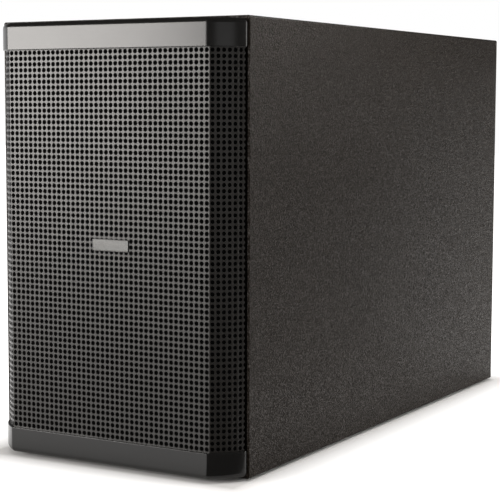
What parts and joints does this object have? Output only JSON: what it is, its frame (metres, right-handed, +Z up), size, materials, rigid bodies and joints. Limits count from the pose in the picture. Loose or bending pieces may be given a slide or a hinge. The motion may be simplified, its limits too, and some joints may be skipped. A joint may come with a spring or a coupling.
{
  "type": "powered bass cabinet",
  "caption": "Deep powered bass cabinet for a column loudspeaker, with a perforated grille between moulded caps, pole socket, rear amplifier and casters.",
  "frame": {"origin": "centre of the bounding box at the underside of the feet", "axes": "+X to the right seen from the front, +Y to the back along the cabinet's length, +Z up"},
  "size_m": [0.394, 0.991, 0.601],
  "materials": {
    "cabinet_paint": "black pebbled texture paint on plywood",
    "baffle_paint": "matte black paint on plywood",
    "bare_plywood": "bare birch plywood",
    "port_plastic": "satin black",
    "cap_plastic": "satin black moulding",
    "grille_metal": "dark grey powder coat, perforated",
    "foam": "open cell black foam",
    "badge_metal": "brushed blank plate",
    "basket_metal": "black epoxy coat",
    "magnet_metal": "dark ferrite and steel",
    "cone_paper": "coated pulp",
    "surround_rubber": "satin",
    "spider_cloth": "woven and pressed",
    "coil_copper": "wound wire",
    "screw_steel": "black oxide",
    "amp_paint": "fine black powder coat",
    "heat_sink_metal": "black anodised",
    "board": "green solder mask",
    "zinc_steel": "zinc plated",
    "socket_plastic": "black",
    "control_plastic": "black",
    "button_plastic": "dark grey",
    "led_lens": "translucent",
    "fittings": "black moulding",
    "socket_metal": "black powder coated casting",
    "foot_rubber": "matte",
    "wheel_rubber": "dark grey elastic tread on a nylon hub"
  },
  "bodies": {
    "cabinet": {"side_panel_left": "cabinet_paint", "side_panel_right": "cabinet_paint", "top_panel": "cabinet_paint", "bottom_panel": "cabinet_paint", "rear_panel": "cabinet_paint", "front_baffle": "baffle_paint", "inner_divider": "bare_plywood", "port_tube_left": "port_plastic", "port_tube_right": "port_plastic", "top_cap": "cap_plastic", "bottom_cap": "cap_plastic", "grille": "grille_metal", "grille_foam": "foam", "badge": "badge_metal", "front_basket": "basket_metal", "front_magnet": "magnet_metal", "front_surround": "surround_rubber", "front_spider": "spider_cloth", "inner_basket": "basket_metal", "inner_magnet": "magnet_metal", "inner_surround": "surround_rubber", "inner_spider": "spider_cloth", "driver_screws": "screw_steel", "amp_plate": "amp_paint", "heat_sink": "heat_sink_metal", "circuit_board": "board", "power_supply": "zinc_steel", "input_socket_left": "socket_plastic", "input_socket_right": "socket_plastic", "output_socket_left": "socket_plastic", "output_socket_right": "socket_plastic", "mains_inlet": "socket_plastic", "led_lenses": "led_lens", "amp_screws": "screw_steel", "pole_socket": "socket_metal", "handle_dish": "fittings", "top_screws": "screw_steel", "feet": "foot_rubber", "caster_base_1": "zinc_steel", "caster_base_2": "zinc_steel", "caster_base_3": "zinc_steel", "caster_base_4": "zinc_steel", "caster_bolts": "zinc_steel"},
    "front_cone_body": {"front_cone": "cone_paper", "front_coil": "coil_copper"},
    "inner_cone_body": {"inner_cone": "cone_paper", "inner_coil": "coil_copper"},
    "rocker": {"power_switch": "control_plastic"},
    "knob": {"gain_knob": "control_plastic"},
    "mode_plunger": {"mode_button": "button_plastic"},
    "phase_plunger": {"phase_button": "button_plastic"},
    "fork_1": {"caster_fork_1": "zinc_steel"},
    "wheel_1": {"caster_wheel_1": "wheel_rubber"},
    "fork_2": {"caster_fork_2": "zinc_steel"},
    "wheel_2": {"caster_wheel_2": "wheel_rubber"},
    "fork_3": {"caster_fork_3": "zinc_steel"},
    "wheel_3": {"caster_wheel_3": "wheel_rubber"},
    "fork_4": {"caster_fork_4": "zinc_steel"},
    "wheel_4": {"caster_wheel_4": "wheel_rubber"}
  },
  "joints": [
    {"name": "front_cone_slide", "type": "slide", "parent": "cabinet", "child": "front_cone_body", "axis": [0, -1, 0], "range_m": [-0.006, 0.006], "stiffness_N_per_m": 2500, "deforming": ["front_surround", "front_spider"]},
    {"name": "inner_cone_slide", "type": "slide", "parent": "cabinet", "child": "inner_cone_body", "axis": [0, -1, 0], "range_m": [-0.006, 0.006], "stiffness_N_per_m": 2500, "deforming": ["inner_surround", "inner_spider"]},
    {"name": "rocker_tilt", "type": "hinge", "parent": "cabinet", "child": "rocker", "pos_m": [0.02, 0.4035, 0.215], "axis": [1, 0, 0], "range_deg": [-18, 0]},
    {"name": "knob_turn", "type": "hinge", "parent": "cabinet", "child": "knob", "pos_m": [0.08, 0.4035, 0.36], "axis": [0, 1, 0], "range_deg": [-150, 150]},
    {"name": "mode_press", "type": "slide", "parent": "cabinet", "child": "mode_plunger", "axis": [0, -1, 0], "range_m": [0, 0.0015], "stiffness_N_per_m": 400},
    {"name": "phase_press", "type": "slide", "parent": "cabinet", "child": "phase_plunger", "axis": [0, -1, 0], "range_m": [0, 0.0015], "stiffness_N_per_m": 400},
    {"name": "caster_swivel_1", "type": "hinge", "parent": "cabinet", "child": "fork_1", "pos_m": [-0.127, 0.4005, 0.088], "axis": [0, 1, 0], "continuous": true},
    {"name": "wheel_spin_1", "type": "hinge", "parent": "fork_1", "child": "wheel_1", "pos_m": [-0.127, 0.458, 0.06], "axis": [1, 0, 0], "continuous": true},
    {"name": "caster_swivel_2", "type": "hinge", "parent": "cabinet", "child": "fork_2", "pos_m": [0.127, 0.4005, 0.088], "axis": [0, 1, 0], "continuous": true},
    {"name": "wheel_spin_2", "type": "hinge", "parent": "fork_2", "child": "wheel_2", "pos_m": [0.127, 0.458, 0.06], "axis": [1, 0, 0], "continuous": true},
    {"name": "caster_swivel_3", "type": "hinge", "parent": "cabinet", "child": "fork_3", "pos_m": [-0.127, 0.4005, 0.512], "axis": [0, 1, 0], "continuous": true},
    {"name": "wheel_spin_3", "type": "hinge", "parent": "fork_3", "child": "wheel_3", "pos_m": [-0.127, 0.458, 0.484], "axis": [1, 0, 0], "continuous": true},
    {"name": "caster_swivel_4", "type": "hinge", "parent": "cabinet", "child": "fork_4", "pos_m": [0.127, 0.4005, 0.512], "axis": [0, 1, 0], "continuous": true},
    {"name": "wheel_spin_4", "type": "hinge", "parent": "fork_4", "child": "wheel_4", "pos_m": [0.127, 0.458, 0.484], "axis": [1, 0, 0], "continuous": true}
  ]
}
